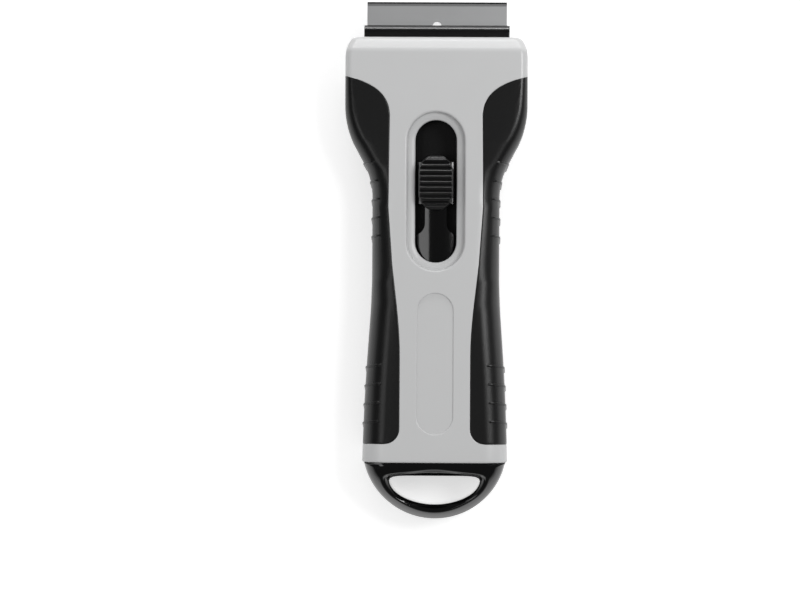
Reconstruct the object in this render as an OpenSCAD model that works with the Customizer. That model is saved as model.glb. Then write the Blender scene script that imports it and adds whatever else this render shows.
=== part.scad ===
// Scraper for ceramic hobs: a two-shell handle with a sliding blade carrier and a magazine.
// +Y points to the blade, +Z away from the table. The origin is on the back, which is flat.

/* [Blade] */
// Length of the cutting edge
blade_w = 39; // [36:0.5:44]
// From the cutting edge to the back of the blade
blade_l = 19; // [18:0.25:20.5]
// Thickness of the sheet
blade_t = 0.3; // [0.2:0.05:0.5]
// Length of the ground bevel
bevel_l = 1.2; // [0.6:0.1:2]
// Width of the slot in the middle of the blade
blade_slot_w = 2.5; // [2.3:0.1:3]
// From the cutting edge to the front of that slot
blade_slot_inset = 5.5; // [4.5:0.1:6.5]
// Length of that slot
blade_slot_l = 10.4; // [9.6:0.1:11]
// Radius of the notches at the ends of the blade
notch_r = 1.2; // [0.8:0.1:1.4]

/* [Housing] */
// Length from the front lip to the tail
housing_l = 118.4; // [114:0.1:130]
// From the origin forward to the front lip
lip_y = 62; // [60:0.1:64]
// From the side of the jaw to the side of the head
head_side = 5.05; // [4.9:0.05:7]
// Width at the waist
waist_w = 35.4; // [34:0.1:38]
// Width at the tail
tail_w = 40.4; // [39:0.1:44]
// Thickness of the handle
handle_h = 20.3; // [20:0.1:24]
// Height of the joint between the two shells
parting_z = 10; // [9.8:0.1:10.5]
// Wall over and under the hollow
skin_wall = 2.1; // [1.8:0.1:2.3]
// Wall beside the hollow, behind the grips
side_wall = 1.8; // [1.4:0.1:2]
// Wall at the front and at the tail
end_wall = 2.3; // [2:0.1:3]
// Thickness of the guides inside the shells
guide_t = 1.5; // [1:0.1:1.6]

/* [Outline] */
// Radius of the front corners
corner_r = 8.5; // [7:0.1:12]
// Length of the front corners
corner_l = 5.6; // [4.5:0.1:6]
// Straight length of the sides of the head
head_l = 13.7; // [12.5:0.1:16]
// Radius of the shoulders behind the head
shoulder_r = 25; // [15:0.5:26]
// Slope of the shoulders from the long axis
shoulder_angle = 28.8; // [26:0.1:30]
// Radius between the shoulders and the waist
fillet_r = 20; // [10:0.5:21]
// Straight length of the waist
waist_l = 21.3; // [15:0.1:28]
// Where the top starts to fall towards the head
crest_y = -5; // [-12:0.5:5]
// Radius of that fall
crest_r = 1250; // [900:10:3000]
// Length of the sloped front lip
facet_l = 3.7; // [3:0.1:4.5]
// Slope of that lip
facet_angle = 32; // [20:1:36]
// Where the back starts to rise towards the mouth
sole_y = 28; // [20:0.5:36]
// Radius of that rise
sole_r = 137; // [120:1:200]
// Rounding of the lip
lip_r = 1; // [0.6:0.1:1.4]
// Rounding of the tail edge
tail_r = 0.6; // [0.3:0.1:1]
// Round edges of the handle, across and down
handle_edge = [6.5, 6];
// Round edges of the head, across and down
head_edge = [2.2, 2.2];
// Round edges of the back, across and up
sole_edge = [5.5, 5];
// Round edges under the head, across and up
jaw_edge = [3, 2.6];

/* [Grips] */
// Thickness of the soft grips
grip_t = 1.5; // [1.2:0.05:1.6]
// Gap between a grip and its pocket
grip_gap = 0.04; // [0.02:0.01:0.08]
// Half width of the grey panel beside the slot
panel_mid = 13.2; // [12:0.1:14]
// Half width of the grey panel in front of the slot
panel_front = 12.9; // [12:0.1:14]
// Half width of the grey panel beside the badge
panel_rear = 9.8; // [8:0.1:11]
// From the front lip back to the tips of the grips
grip_front = 10.6; // [9:0.1:12]
// From the tail forward to the rear ends of the grips
grip_rear = 5.2; // [4.8:0.1:7]
// Width of a grip on the back
grip_wrap = 4.2; // [3:0.1:4.4]
// Radius of the rear corners of the grips
heel_r = 4.2; // [3:0.1:5]
// Distance between ribs
rib_pitch = 5.1; // [4:0.1:6]
// Thickness of a rib
rib_t = 0.6; // [0.4:0.1:0.9]
// Height of a rib
rib_h = 0.3; // [0.2:0.05:0.5]
// From the side of a grip to the ends of its ribs on the top
rib_reach = 4.6; // [3:0.1:5]
// From the side of a grip to the ends of its ribs on the back
rib_wrap = 2.6; // [2:0.1:2.8]
// Number of ribs beside the slot
front_ribs = 5; // [3:1:6]
// Number of ribs beside the badge
rear_ribs = 4; // [2:1:5]
// From the origin forward to the rear rib beside the slot
front_rib_y = 7; // [4:0.5:9]
// From the origin to the rear rib beside the badge
rear_rib_y = -44.5; // [-47:0.5:-42]

/* [Slide and button] */
// How far the slide goes back, to sheathe the blade
travel_in = 13.6; // [12:0.1:14]
// How far the slide goes out, to change the blade
travel_out = 9.5; // [6:0.1:10]
// From the front lip to the front of the jaw, ready to scrape
jaw_out = 3.55; // [3:0.05:5]
// From the front of the jaw to the cutting edge
blade_out = 6.5; // [5.5:0.1:7]
// Length of the jaw
jaw_l = 16.5; // [15.5:0.1:17]
// From the side of the blade to the side of the jaw
jaw_side = 0.8; // [0.6:0.05:1.2]
// Thickness of the carrier
carrier_t = 3.3; // [3:0.1:3.5]
// Height of the underside of the carrier
carrier_z = 6.4; // [6.3:0.1:6.8]
// Thickness of the clamp
clamp_t = 2.7; // [2.4:0.1:2.9]
// Width of the stem of the carrier
stem_w = 17.6; // [16.8:0.1:18]
// Gap round what slides
slide_gap = 0.3; // [0.2:0.05:0.35]
// Gap between the stem and the tray when the blade is sheathed
stem_gap = 0.9; // [0.6:0.1:1.2]
// Rounding of the front edge of the clamp
nose_r = 1.3; // [0.8:0.05:1.35]
// Centre of the button along the handle
button_y = 21.35; // [20.5:0.05:22.5]
// Length of the button
button_l = 15.6; // [14:0.1:17]
// Width of the button
button_w = 9.65; // [8.5:0.05:10]
// How far the button stands above the handle
button_proud = 0.9; // [0.5:0.1:1.5]
// Number of ridges on the button
ridges = 9; // [6:1:11]
// Distance between ridges
ridge_pitch = 1.55; // [1.2:0.05:1.6]
// Depth of the grooves between ridges
ridge_h = 0.5; // [0.3:0.05:0.8]
// From the middle of the button to its two studs
stud_y = 4; // [3.5:0.1:4.5]
// Diameter of the studs
stud_d = 2; // [1.6:0.1:2.2]
// How far the lever turns when the button is pressed
press_angle = 3; // [1:0.5:3]
// Width of the slot in the top shell
slot_w = 11.15; // [10.8:0.05:11.4]
// Gap at each end of the slot
slot_gap = 0.45; // [0.4:0.05:1]
// Width of the ledge round the slot
ledge_w = 1.6; // [1.2:0.1:1.8]
// From the top of the handle down to the ledge
ledge_d = 2.2; // [2:0.1:2.5]
// How far the wall round the ledge leans out, per millimetre of height
ledge_lean = 0.64; // [0.3:0.02:0.8]
// Thickness of the rim round the slot
rim_t = 1.5; // [1.3:0.05:1.6]
// Width of that rim
rim_w = 3.6; // [3:0.1:4]

/* [Lever] */
// Thickness of the lever
lever_t = 1.8; // [1.4:0.1:1.9]
// Gap between the rim and the lever
lever_gap = 0.8; // [0.7:0.05:1]
// Width of the lever where it runs under the rim
lever_w = 12.8; // [12.4:0.1:13]
// Width of the neck behind the button
neck_w = 6; // [5:0.1:8]
// Height of the pivot
pivot_z = 11.8; // [11.7:0.05:12]
// From the middle to the ears that hold the pin
ear_x = 4.5; // [4:0.1:4.6]
// Thickness of an ear
ear_t = 1.9; // [1.5:0.1:2]
// Radius of the top of an ear
ear_r = 1.7; // [1.5:0.05:1.8]
// Diameter of the pivot pin
pin_d = 1.6; // [1.2:0.1:1.8]
// Running gap round the pin
pin_gap = 0.06; // [0.03:0.01:0.1]
// Outer diameter of the spring
spring_d = 4.6; // [4:0.1:5]
// Diameter of the spring wire
wire_d = 0.5; // [0.3:0.05:0.6]
// Number of coils
coils = 3.5; // [2.5:0.5:3.5]
// Height of the stops under the rim
stop_h = 0.45; // [0.3:0.05:0.5]
// Length of the notches between the stops
notch_l = 2.4; // [2:0.1:3]
// Gap between the stops and the teeth of the lever
stop_gap = 0.15; // [0.1:0.05:0.25]
// From the rear end of the stem to the pivot
pivot_set = 3.6; // [3.2:0.1:4]
// From the slot back to the tail of the lever
lever_tail = 2.5; // [1.5:0.1:3]
// From the button back to the broad part of the lever
neck_l = 3.4; // [3:0.1:4.5]
// Radius of the crown of the lever
crown_r = 20; // [14:0.5:30]
// Height of the pegs that hold the ends of the spring
peg_h = 1.2; // [0.8:0.1:1.5]

/* [Tail and magazine] */
// Radius of the round end
loop_r = 20.2; // [19.6:0.1:22]
// From the tail forward to the centre of the round end
loop_set = 4.5; // [3.5:0.1:6]
// From the tail to the front of the hanging hole
hole_front = 3.7; // [3.4:0.1:4.5]
// Width of the rim behind the hanging hole
hole_rim = 4; // [3.4:0.1:5]
// Width of the round edge of the hanging hole
hole_edge = 1.8; // [1:0.1:2]
// Thickness of the round end at its tip
tip_h = 10.5; // [8:0.5:14]
// Gap between the housing and the round end
tail_gap = 0.12; // [0.05:0.01:0.3]
// Distance between stacked blades
stack_pitch = 0.34; // [0.32:0.01:0.36]
// Wall of the tray
tray_wall = 1; // [0.8:0.1:1.2]
// Gap between the blades and the walls of the tray
tray_play = 0.2; // [0.1:0.05:0.3]
// Height of the tray
tray_h = 4.2; // [3.6:0.1:4.4]
// Height of the underside of the tray
tray_z = 7.6; // [7.4:0.1:7.8]
// Width of the notch in the front wall of the tray
thumb_notch = 10; // [6:0.5:12]
// Length of the tenon that holds the tray in the round end
tenon_l = 1.9; // [1.4:0.1:2]
// From the side of the tray to the side of the tenon
tenon_set = 2; // [1:0.1:3]
// Gap round the tenon
tenon_gap = 0.05; // [0.02:0.01:0.1]

/* [Badge panel] */
// Length of the recessed panel
badge_l = 39.7; // [30:0.1:42]
// Width of the recessed panel
badge_w = 10.2; // [8:0.1:12]
// From the tail forward to the recessed panel
badge_rear = 7.4; // [6.5:0.1:9]
// Depth of the recessed panel
badge_d = 0.35; // [0.2:0.05:0.5]

/* [Screws] */
// Shank of the housing screws
screw_d = 2.5; // [2:0.1:2.6]
// Head of the housing screws
screw_head_d = 4.2; // [3.8:0.1:4.4]
// Thickness of the heads
screw_head_t = 1.1; // [0.9:0.05:1.2]
// Length of the shanks
screw_l = 14.5; // [12:0.1:15]
// Wall of the screw posts
post_wall = 0.9; // [0.8:0.05:1]
// Front pair of screws, from the origin
front_screw_y = 28; // [26:0.5:29]
// Tail pair of screws, from the tail forward
tail_screw_y = 8.4; // [8:0.1:10]
// Shank of the clamp screw
clamp_screw_d = 2.1; // [1.8:0.1:2.2]
// Head of the clamp screw
clamp_head_d = 4.4; // [3.8:0.1:5]
// Thickness of that head
clamp_head_t = 1.2; // [0.9:0.1:1.3]
// Gap between a screw and its hole
screw_gap = 0.06; // [0.04:0.01:0.1]
// Length of the cross in a head
cross_l = 2.5; // [2:0.1:3]
// Width of the cross
cross_t = 0.5; // [0.4:0.05:0.7]

/* [Hidden] */
$fn = 48;

shell_grey = "#c4c5c6";
soft_black = "#1b1b1c";
gloss_black = "#0e0e10";
moulded_black = "#262628";
steel = "#a9abad";
eps = 0.001;
deep = 30;
// How far posts and guides run into the wall that carries them
root = 0.5;

// Outline of the housing, seen from above
jaw_w = blade_w + 2 * jaw_side;
head_w = jaw_w + 2 * head_side;
tail_y = lip_y - housing_l;
corner_y = lip_y - corner_l;
shoulder_y = corner_y - head_l;
shoulder_l = shoulder_r * sin(shoulder_angle);
fillet_l = fillet_r * sin(shoulder_angle);
round_drop = (shoulder_r + fillet_r) * (1 - cos(shoulder_angle));
diagonal_l = ((head_w - waist_w) / 2 - round_drop) / tan(shoulder_angle);
diagonal_y = shoulder_y - shoulder_l;
fillet_y = diagonal_y - diagonal_l;
waist_y = fillet_y - fillet_l;
flare_y = waist_y - waist_l;
flare_l = flare_y - tail_y;
facet_y = lip_y - facet_l;

// Ends of the hollow and of the grips
hollow_rear = tail_y + end_wall;
hollow_front = lip_y - end_wall;
tip_y = lip_y - grip_front;
heel_y = tail_y + grip_rear;
pocket_d = grip_t + grip_gap;
tip_w = 0.35;

// The slide at rest
jaw_y = lip_y + jaw_out;
jaw_back_y = jaw_y - jaw_l;
edge_y = jaw_y + blade_out;
blade_z = carrier_z + carrier_t - blade_t;
clamp_z = carrier_z + carrier_t + 0.02;
clamp_top = clamp_z + clamp_t;
clamp_seat_z = clamp_top - clamp_head_t - 0.1;
clamp_screw_y = edge_y - blade_slot_inset - blade_slot_l + blade_slot_w / 2 + 2;

// The magazine, and the pieces of the slide that stay in front of it
tray_w = blade_l + 2 * (tray_play + tray_wall);
tray_l = blade_w + 2 * (tray_play + tray_wall);
tenon_w = tray_w - 2 * tenon_set;
tray_front = tail_y + tray_l;
stem_rear = tray_front + travel_in + stem_gap;
pivot_y = stem_rear + pivot_set;
stem_z = carrier_z + carrier_t - blade_t;

// Heights of the slot, the lever and the button
ledge_z = handle_h - ledge_d;
rim_z = ledge_z - rim_t;
lever_z = rim_z - lever_gap;
button_z = handle_h + button_proud;
roof_z = handle_h - skin_wall;

// The slot
slot_front = button_y + button_l / 2 + travel_out + slot_gap;
slot_rear = button_y - button_l / 2 - travel_in - slot_gap;
slot_l = slot_front - slot_rear;
slot_y = (slot_front + slot_rear) / 2;
tray_guide_x = lever_w / 2 + 0.6;
post_r = screw_d / 2 + post_wall;
front_screw_x = stem_w / 2 + 2 * slide_gap + post_r;
tail_screw_x = tray_w / 2 + slide_gap + post_r;
screw_seat_z = screw_head_t + 0.3;
stop_y = button_y + 0.5;
stop_z = rim_z - stop_h;
tooth_l = notch_l - 0.6;
peg_r = spring_d / 2 - wire_d - 0.25;
press_drop = (button_y - pivot_y) * sin(press_angle);

// Smooth step from 0 at a to 1 at b
function ease(v, a, b) = let (t = min(1, max(0, (v - a) / (b - a)))) t * t * (3 - 2 * t);

// How far a round corner of radius r has dropped at a distance s past its start
function arc_drop(r, s) = r - sqrt(max(0, r * r - pow(max(0, s), 2)));

// Point at t on a curve with four handles
function curve(p, t) =
    pow(1 - t, 3) * p[0] + 3 * pow(1 - t, 2) * t * p[1] + 3 * (1 - t) * t * t * p[2] + pow(t, 3) * p[3];

// The same list, sorted by its first numbers
function sorted(v) = len(v) < 2 ? v : let (pivot = v[floor(len(v) / 2)][0]) concat(
    sorted([for (s = v) if (s[0] < pivot) s]),
    [for (s = v) if (s[0] == pivot) s],
    sorted([for (s = v) if (s[0] > pivot) s]));

// Half width of the tail, which swells in a soft curve
flare_handles = [
    [tail_y, tail_w / 2],
    [tail_y + 0.58 * flare_l, tail_w / 2 - 0.28 * (tail_w - waist_w) / 2],
    [tail_y + 0.75 * flare_l, waist_w / 2],
    [flare_y, waist_w / 2]
];
flare = [for (t = [0 : 0.0625 : 1]) curve(flare_handles, t)];

function end_round(y) = arc_drop(lip_r, y - lip_y + lip_r) + arc_drop(tail_r, tail_y + tail_r - y);

function half_w(y) = -end_round(y) + (
    y > shoulder_y ? head_w / 2 - arc_drop(corner_r, y - corner_y) :
    y > diagonal_y ? head_w / 2 - arc_drop(shoulder_r, shoulder_y - y) :
    y > fillet_y ? waist_w / 2 + arc_drop(fillet_r, fillet_l) + (y - fillet_y) * tan(shoulder_angle) :
    y > waist_y ? waist_w / 2 + arc_drop(fillet_r, y - waist_y) :
    lookup(y, flare));

// Height of the top and of the back
function top_z(y) = handle_h - pow(max(0, y - crest_y), 2) / (2 * crest_r)
    - max(0, y - facet_y) * tan(facet_angle) - end_round(y);
function sole_z(y) = pow(max(0, y - sole_y), 2) / (2 * sole_r) + end_round(y);

// Size of the round edges of the top (side 1) and of the back (side -1)
function edge(y, side) = let (t = ease(y, waist_y, tip_y))
    side > 0 ? (1 - t) * handle_edge + t * head_edge : (1 - t) * sole_edge + t * jaw_edge;

// Height of the outside over or under the joint of the shells
function rise(y, side) = side > 0 ? top_z(y) - parting_z : parting_z - sole_z(y);

// Where the grey panel meets the grips, from the tail to the tips
panel_rear_y = crest_y - 21;
panel_table = sorted(concat(
    [for (a = [0 : 15 : 90]) [heel_y + heel_r * (1 - cos(a)), panel_rear + heel_r * (1 - sin(a))]],
    [for (t = [0 : 0.125 : 1]) curve([
        [panel_rear_y, panel_rear], [panel_rear_y + 12, panel_rear],
        [panel_rear_y + 28, panel_mid], [panel_rear_y + 40, panel_mid]], t)],
    [for (t = [0 : 0.125 : 1]) curve([
        [tip_y - 11.7, panel_front], [tip_y - 5.2, panel_front],
        [tip_y - 2.7, head_w / 2 - 7.85], [tip_y, head_w / 2]], t)]));

// Half width of the panel between the grips, on the top and on the back
function panel(y, side) = side > 0
    ? (y > tip_y ? half_w(y) - tip_w : min(half_w(y) - tip_w, lookup(y, panel_table)))
    : half_w(y) - max(tip_w, grip_wrap * (1 - ease(y, tip_y - 10, tip_y)));

// Point on the round edge at an angle, sunk by d; 90 degrees is where the flat starts
function edge_point(w, h, e, a, d) = [
    w - e[0] + max(0.3, e[0] - d) * cos(a) - max(0, d + 0.3 - e[0]),
    h - e[1] + max(0.3, e[1] - d) * sin(a) - max(0, d + 0.3 - e[1])
];

edge_steps = 6;
panel_steps = 3;

// Angle on the round edge at which the panel ends
function panel_angle(w, e, g) = g <= w - e[0] ? 90 : acos((g - w + e[0]) / e[0]);

// Section of the grip or its pocket, from the side of the housing to the panel. A rib stands proud on it.
function side_path(y, side, d, proud = 0) =
    let (w = half_w(y), h = rise(y, side), e = edge(y, side), g = panel(y, side))
    let (last = panel_angle(w, e, g), reach = side > 0 ? rib_reach : rib_wrap)
    concat(
        [for (i = [0 : edge_steps]) let (a = last * i / edge_steps, p = edge_point(w, h, e, a, d))
            p + proud * (1 - ease(w - p[0], reach - 1, reach)) * [cos(a), sin(a)]],
        [last < 90 ? edge_point(w, h, e, last, d) : [g, h - d]]);

// Half of the outside of a shell, sunk by d beside the panel, from its rim up to the panel
function outer_path(y, side, d) =
    let (w = half_w(y), h = rise(y, side), e = edge(y, side), g = panel(y, side))
    let (last = panel_angle(w, e, g))
    let (path = side_path(y, side, d))
    concat(
        [[w - pocket_d, 0], [path[0][0], 0]],
        path,
        [last < 90 ? edge_point(w, h, e, last, 0) : [g, h]],
        [for (i = [1 : panel_steps]) last < 90
            ? edge_point(w, h, e, last + (90 - last) * i / panel_steps, 0) : [g, h]]);

// Half of the hollow of a shell, from its rim up to the flat; it closes where open is 0
function inner_path(y, side, open) =
    let (w = half_w(y) - pocket_d - side_wall, h = rise(y, side) - skin_wall)
    let (e = [for (s = edge(y, side)) max(1, s - pocket_d - side_wall)])
    [for (p = concat([[w, 0]], [for (a = [0 : 30 : 90]) edge_point(w, h, e, a, 0)])) [p[0], open * p[1]]];

function mirrored(path) = [for (i = [len(path) - 1 : -1 : 0]) [-path[i][0], path[i][1]]];

function backwards(path) = [for (i = [len(path) - 1 : -1 : 0]) path[i]];

// Places along the housing where a section is taken, each as [order, place]; a wall has two
breaks = [hollow_rear, heel_y, tip_y, hollow_front];
knots = concat(
    [tail_y, tail_y + 0.15, tail_y + tail_r, flare_y, flare_y + waist_l / 2],
    [for (i = [0 : 5]) heel_y + heel_r * (1 - cos(15 * i + 10))],
    [for (y = [heel_y + heel_r + 2.8 : 4 : flare_y - 2]) y],
    [for (i = [0 : 4]) waist_y + fillet_l * i / 4],
    [for (i = [0 : 6]) diagonal_y + shoulder_l * i / 6],
    [for (i = [1 : 7]) curve([tip_y - 11.7, tip_y - 5.2, tip_y - 2.7, tip_y], i / 8)],
    [for (i = [0 : 4]) corner_y + (lip_y - lip_r - corner_y) * i / 4],
    [facet_y, lip_y - 0.6 * lip_r, lip_y - 0.25 * lip_r, lip_y - 0.05 * lip_r]);
stations = sorted(concat(
    [for (b = breaks) each [[b - eps, b], [b + eps, b]]],
    [for (k = knots) if (min([for (b = breaks) abs(k - b)]) > 0.2) [k, k]]));

function shell_rings(side) = [for (s = stations)
    let (outer = outer_path(s[1], side, s[0] > heel_y && s[0] < tip_y ? pocket_d : 0))
    let (inner = inner_path(s[1], side, s[0] > hollow_rear && s[0] < hollow_front ? 1 : 0))
    [for (p = concat(outer, mirrored(outer), backwards(mirrored(inner)), backwards(inner)))
        [p[0], s[1], p[1]]]];

function same(a, b) = norm(a - b) < eps * eps;

function middle(ring) = [for (p = ring) 1] * ring / len(ring);

// Closed skin over a row of rings with equal numbers of points. The ends are closed by a fan, or by a
// strip where a ring runs out along one path and back along another; or the row is a loop, with no ends.
module skin(rings, ends = "fan") {
    n = len(rings[0]);
    m = len(rings);
    loop = ends == "loop" ? 0 : 1;
    points = concat([for (ring = rings) each ring], [for (ring = [rings[0], rings[m - 1]]) middle(ring)]);
    quads = [for (i = [0 : m - 1 - loop], j = [0 : n - 1]) let (k = (i + 1) % m)
        [i * n + j, i * n + (j + 1) % n, k * n + (j + 1) % n, k * n + j]];
    strips = ends != "strip" ? [] : [for (j = [0 : n / 2 - 2]) each [
        [n - 1 - j, n - 2 - j, j + 1, j],
        [for (p = [j, j + 1, n - 2 - j, n - 1 - j]) p + n * (m - 1)]]];
    fans = ends != "fan" ? [] : [for (j = [0 : n - 1])
        each [[(j + 1) % n, j, n * m], [for (p = [j, (j + 1) % n]) p + n * (m - 1), n * m + 1]]];
    triangles = concat([for (q = concat(quads, strips)) each [[q[0], q[1], q[2]], [q[0], q[2], q[3]]]],
        [for (f = fans) [f[0], f[1], f[2]]]);
    polyhedron(points, [for (t = triangles)
        if (!same(points[t[0]], points[t[1]]) && !same(points[t[1]], points[t[2]])
            && !same(points[t[2]], points[t[0]])) t], convexity = 8);
}

// Upright prism with round ends, centred, l long and 2 r wide
module stadium(l, r, h) {
    linear_extrude(h) {
        square([2 * r, l - 2 * r], center = true);
        for (s = [-1, 1]) translate([0, s * (l / 2 - r)]) circle(r);
    }
}

module at_both_sides() {
    children();
    mirror([1, 0, 0]) children();
}

// Box between two corners
module block(low, high) {
    translate(low) cube(high - low);
}

module shell_body(side) {
    translate([0, 0, parting_z]) mirror([0, 0, side > 0 ? 0 : 1]) skin(shell_rings(side));
}

// The mouth at the front and the way out for the tray at the tail
module openings() {
    x = jaw_w / 2 + slide_gap;
    block([-x, hollow_front - 1, carrier_z - slide_gap], [x, lip_y + 1, clamp_top + slide_gap]);
    t = tray_w / 2 + slide_gap;
    block([-t, tail_y - 1, tray_z - slide_gap], [t, hollow_rear + 1, tray_z + tray_h + slide_gap]);
}

module at_screws() {
    for (p = [[front_screw_x, front_screw_y], [tail_screw_x, tail_y + tail_screw_y]])
        at_both_sides() translate([p[0], p[1], 0]) children();
}

module screw_hole(h) {
    cylinder(h, screw_d / 2 + screw_gap, screw_d / 2 + screw_gap);
}

module ledge_cut() {
    r = slot_w / 2 + ledge_w;
    h = handle_h - ledge_z + 1;
    straight = slot_l - slot_w;
    translate([0, slot_y, ledge_z]) {
        for (s = [-1, 1]) translate([0, s * straight / 2, 0]) cylinder(h, r, r + ledge_lean * h);
        rotate([90, 0, 0]) linear_extrude(straight, center = true)
            polygon([[-r, 0], [r, 0], [r + ledge_lean * h, h], [-r - ledge_lean * h, h]]);
    }
}

// Rail inside a shell that guides what slides past it
module guide(low, front, top) {
    block(low, [low[0] + guide_t, front, top]);
}

// Stops under the rim, with a notch for each of the three places of the button
module stop_rail() {
    difference() {
        block([slot_w / 2, slot_rear, stop_z], [lever_w / 2 + 0.7, slot_front, rim_z + 0.1]);
        for (y = [-travel_in, 0, travel_out])
            block([0, stop_y + y - notch_l / 2, 0], [deep, stop_y + y + notch_l / 2, rim_z]);
    }
}

module top_shell() {
    color(shell_grey) difference() {
        union() {
            shell_body(1);
            translate([0, slot_y, rim_z])
                stadium(slot_l + 2 * rim_w, slot_w / 2 + rim_w, ledge_z - rim_z + 0.1);
            at_screws() translate([0, 0, parting_z]) cylinder(roof_z + root - parting_z, post_r, post_r);
            at_both_sides() {
                guide([tray_guide_x, heel_y, tray_z + tray_h + slide_gap], tray_front + 2, roof_z + root);
                guide([stem_w / 2 - guide_t - 0.1, stem_rear - pivot_set, stem_z + slide_gap],
                    jaw_back_y - travel_in - 1, roof_z + root);
                stop_rail();
            }
        }
        translate([0, slot_y, parting_z]) stadium(slot_l, slot_w / 2, deep);
        ledge_cut();
        translate([0, tail_y + badge_rear + badge_l / 2, handle_h - badge_d])
            stadium(badge_l, badge_w / 2, deep);
        at_screws() translate([0, 0, parting_z - 1]) screw_hole(screw_seat_z + screw_l - parting_z + 1.2);
        openings();
    }
}

module bottom_shell() {
    color(shell_grey) difference() {
        union() {
            shell_body(-1);
            at_screws() translate([0, 0, skin_wall - root])
                cylinder(parting_z - skin_wall + root, post_r, post_r);
            at_both_sides() {
                translate([stem_w / 4, 0, 0]) rotate([90, 0, 90]) linear_extrude(guide_t) polygon(concat(
                    [for (i = [0 : 5]) let (y = sole_y + (hollow_front - sole_y) * i / 5)
                        [y, sole_z(y) + skin_wall - root]],
                    [[hollow_front, carrier_z - slide_gap], [tray_front + guide_t, carrier_z - slide_gap]],
                    [[tray_front + guide_t, skin_wall - root]]));
                guide([tray_guide_x, heel_y, skin_wall - root], tray_front - 1, tray_z - slide_gap);
            }
        }
        at_screws() translate([0, 0, -1]) {
            screw_hole(deep);
            cylinder(screw_seat_z + 1, screw_head_d / 2 + 0.15, screw_head_d / 2 + 0.15);
        }
        openings();
    }
}

rib_ys = concat(
    [for (i = [0 : front_ribs - 1]) front_rib_y + i * rib_pitch],
    [for (i = [0 : rear_ribs - 1]) rear_rib_y + i * rib_pitch]);

function proud_at(y) = min([for (r = rib_ys) abs(y - r)]) < 0.3 * rib_t ? rib_h : 0;

grip_stations = sorted(concat(
    [for (k = knots) if (k > heel_y + 0.3 && k < tip_y - 0.3 && min([for (r = rib_ys) abs(k - r)]) > rib_t)
        [k]],
    [for (r = rib_ys, s = [-0.5, -0.25, 0.25, 0.5]) [r + s * rib_t]],
    [[heel_y + grip_gap], [tip_y - grip_gap]]));

function grip_ring(y) =
    let (top = side_path(y, 1, 0, proud_at(y)), back = side_path(y, -1, 0, proud_at(y)))
    let (top_in = side_path(y, 1, grip_t), back_in = side_path(y, -1, grip_t))
    concat(
        [for (p = backwards(top)) [p[0], y, parting_z + p[1]]],
        [for (p = back) [p[0], y, parting_z - p[1]]],
        [for (p = backwards(back_in)) [p[0], y, parting_z - p[1]]],
        [for (p = top_in) [p[0], y, parting_z + p[1]]]);

module grip() {
    skin([for (s = grip_stations) backwards(grip_ring(s[0]))], "strip");
}

module left_grip() {
    color(soft_black) mirror([1, 0, 0]) grip();
}

module right_grip() {
    color(soft_black) grip();
}

// Cross-shaped recess for a driver, from a height upwards
module cross_slot(z, h) {
    for (a = [0, 90]) rotate([0, 0, a])
        block([-cross_l / 2, -cross_t / 2, z], [cross_l / 2, cross_t / 2, z + h]);
}

module housing_screws() {
    color(steel) at_screws() difference() {
        union() {
            translate([0, 0, screw_seat_z - screw_head_t])
                cylinder(screw_head_t, screw_head_d / 2, screw_head_d / 2);
            translate([0, 0, screw_seat_z - 0.1]) cylinder(screw_l + 0.1, screw_d / 2, screw_d / 2);
        }
        cross_slot(screw_seat_z - screw_head_t - 1, 1.6);
    }
}

// Flat blank with its ground edge at the origin, lying back along -Y
module blade_form() {
    difference() {
        rotate([90, 0, 90]) linear_extrude(blade_w, center = true) polygon([
            [0, 0.05], [-bevel_l, blade_t], [-blade_l, blade_t], [-blade_l, 0], [-bevel_l, 0], [0, 0]]);
        translate([0, -blade_slot_inset - blade_slot_l / 2, -1]) stadium(blade_slot_l, blade_slot_w / 2, 3);
        for (s = [-1, 1]) translate([s * blade_w / 2, -blade_l / 2, -1]) cylinder(3, notch_r, notch_r);
    }
}

module blade() {
    color(steel) translate([0, edge_y, blade_z + 0.01]) blade_form();
}

module blade_carrier() {
    color(moulded_black) difference() {
        union() {
            difference() {
                block([-jaw_w / 2, jaw_back_y, carrier_z], [jaw_w / 2, jaw_y, carrier_z + carrier_t]);
                block([-blade_w / 2 - 0.1, edge_y - blade_l - 0.1, blade_z],
                    [blade_w / 2 + 0.1, jaw_y + 1, deep]);
                translate([0, jaw_y, carrier_z]) rotate([45, 0, 0]) cube([jaw_w + 1, 2, 2], center = true);
            }
            block([-stem_w / 2, stem_rear, carrier_z], [stem_w / 2, jaw_back_y + 1, stem_z]);
            at_both_sides() intersection() {
                translate([blade_w / 2, edge_y - blade_l / 2, carrier_z + 1])
                    cylinder(carrier_t - 1, notch_r - 0.15, notch_r - 0.15);
                block([0, jaw_back_y, carrier_z], [jaw_w / 2, jaw_y, deep]);
            }
            at_both_sides() {
                translate([ear_x, pivot_y, pivot_z]) rotate([0, 90, 0]) cylinder(ear_t, ear_r, ear_r);
                block([ear_x, pivot_y - ear_r, stem_z - 1], [ear_x + ear_t, pivot_y + ear_r, pivot_z]);
            }
            translate([0, button_y, stem_z - 1]) cylinder(peg_h + 1, peg_r, peg_r);
        }
        translate([0, pivot_y, pivot_z]) rotate([0, 90, 0])
            cylinder(deep, pin_d / 2 + 0.01, pin_d / 2 + 0.01, center = true);
        translate([0, clamp_screw_y, carrier_z + 0.6])
            cylinder(deep, clamp_screw_d / 2 + screw_gap, clamp_screw_d / 2 + screw_gap);
    }
}

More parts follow.
